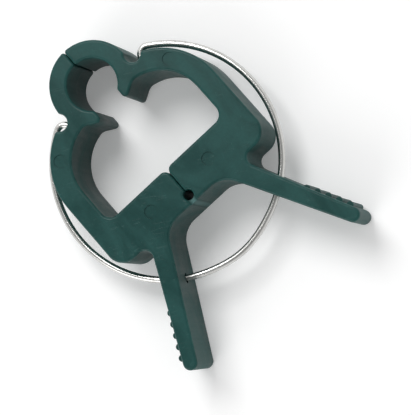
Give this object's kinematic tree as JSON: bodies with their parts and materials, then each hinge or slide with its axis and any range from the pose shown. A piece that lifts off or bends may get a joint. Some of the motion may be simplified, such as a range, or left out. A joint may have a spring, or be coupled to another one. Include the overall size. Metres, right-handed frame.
{
  "type": "orchid clip",
  "caption": "Small plastic plant clip: mirrored arms on a living hinge form a stem jaw and a tip hole, splayed handles open it and an open wire ring shuts it.",
  "frame": {"origin": "centre of the spring ring, which is the middle of the stem opening, on the flat underside of the clip", "axes": "the clip lies on its side: +Z runs along the stem that it holds, +Y points from the ring's centre to the closed jaw tip, +X to the right arm; the handles splay towards -Y"},
  "size_m": [0.0278, 0.037, 0.008],
  "materials": {
    "moulded_plastic": "dark blue-green moulded polypropylene, softly glossy",
    "spring_wire": "bright drawn spring wire"
  },
  "bodies": {
    "left_arm": {"left_arm": "moulded_plastic", "living_hinge": "moulded_plastic", "spring_ring": "spring_wire"},
    "right_arm": {"right_arm": "moulded_plastic"}
  },
  "joints": [
    {"name": "jaw_hinge", "type": "hinge", "parent": "left_arm", "child": "right_arm", "pos_m": [0, -0.00628, 0.004], "axis": [0, 0, -1], "range_deg": [0, 44], "stiffness_Nm_per_rad": 0.036, "springref_deg": -16.44, "deforming": ["spring_ring", "living_hinge"]}
  ]
}
